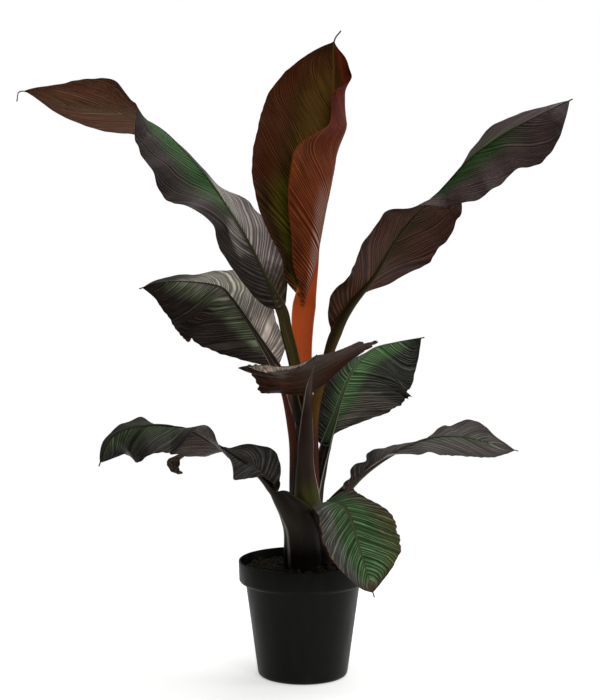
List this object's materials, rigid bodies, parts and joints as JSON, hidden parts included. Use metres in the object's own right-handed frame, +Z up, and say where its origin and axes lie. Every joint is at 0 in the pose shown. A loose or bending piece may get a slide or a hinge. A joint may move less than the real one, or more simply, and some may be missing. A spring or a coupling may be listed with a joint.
{
  "type": "potted ornamental banana plant",
  "caption": "Red-leaved ornamental banana plant: a short false stem that opens into long stalked leaves round an upright young leaf, standing in a round plastic nursery pot.",
  "frame": {"origin": "centre of the pot's flat underside", "axes": "+Z up along the pot's axis, -Y to the front of the plant as pictured, +X to its right"},
  "size_m": [0.8934, 0.5071, 1.0512],
  "materials": {
    "pot_plastic": "satin",
    "soil": "matte",
    "stem": "satin",
    "leaf_stalk": "satin",
    "young_stalk": "satin",
    "leaf": "satin",
    "young_leaf": "satin"
  },
  "bodies": {
    "root": {"pot": "pot_plastic", "soil": "soil", "stem": "stem", "crown_stalk": "young_stalk", "crown_blade": "young_leaf", "upper_left_stalk": "leaf_stalk", "upper_left_blade": "leaf", "upper_right_stalk": "leaf_stalk", "upper_right_blade": "leaf", "mid_left_stalk": "leaf_stalk", "mid_left_blade": "leaf", "mid_right_stalk": "leaf_stalk", "mid_right_blade": "leaf", "front_stalk": "leaf_stalk", "front_blade": "leaf", "low_right_stalk": "leaf_stalk", "low_right_blade": "leaf", "low_front_stalk": "leaf_stalk", "low_front_blade": "leaf", "low_left_stalk": "leaf_stalk", "low_left_blade": "leaf"}
  },
  "joints": []
}
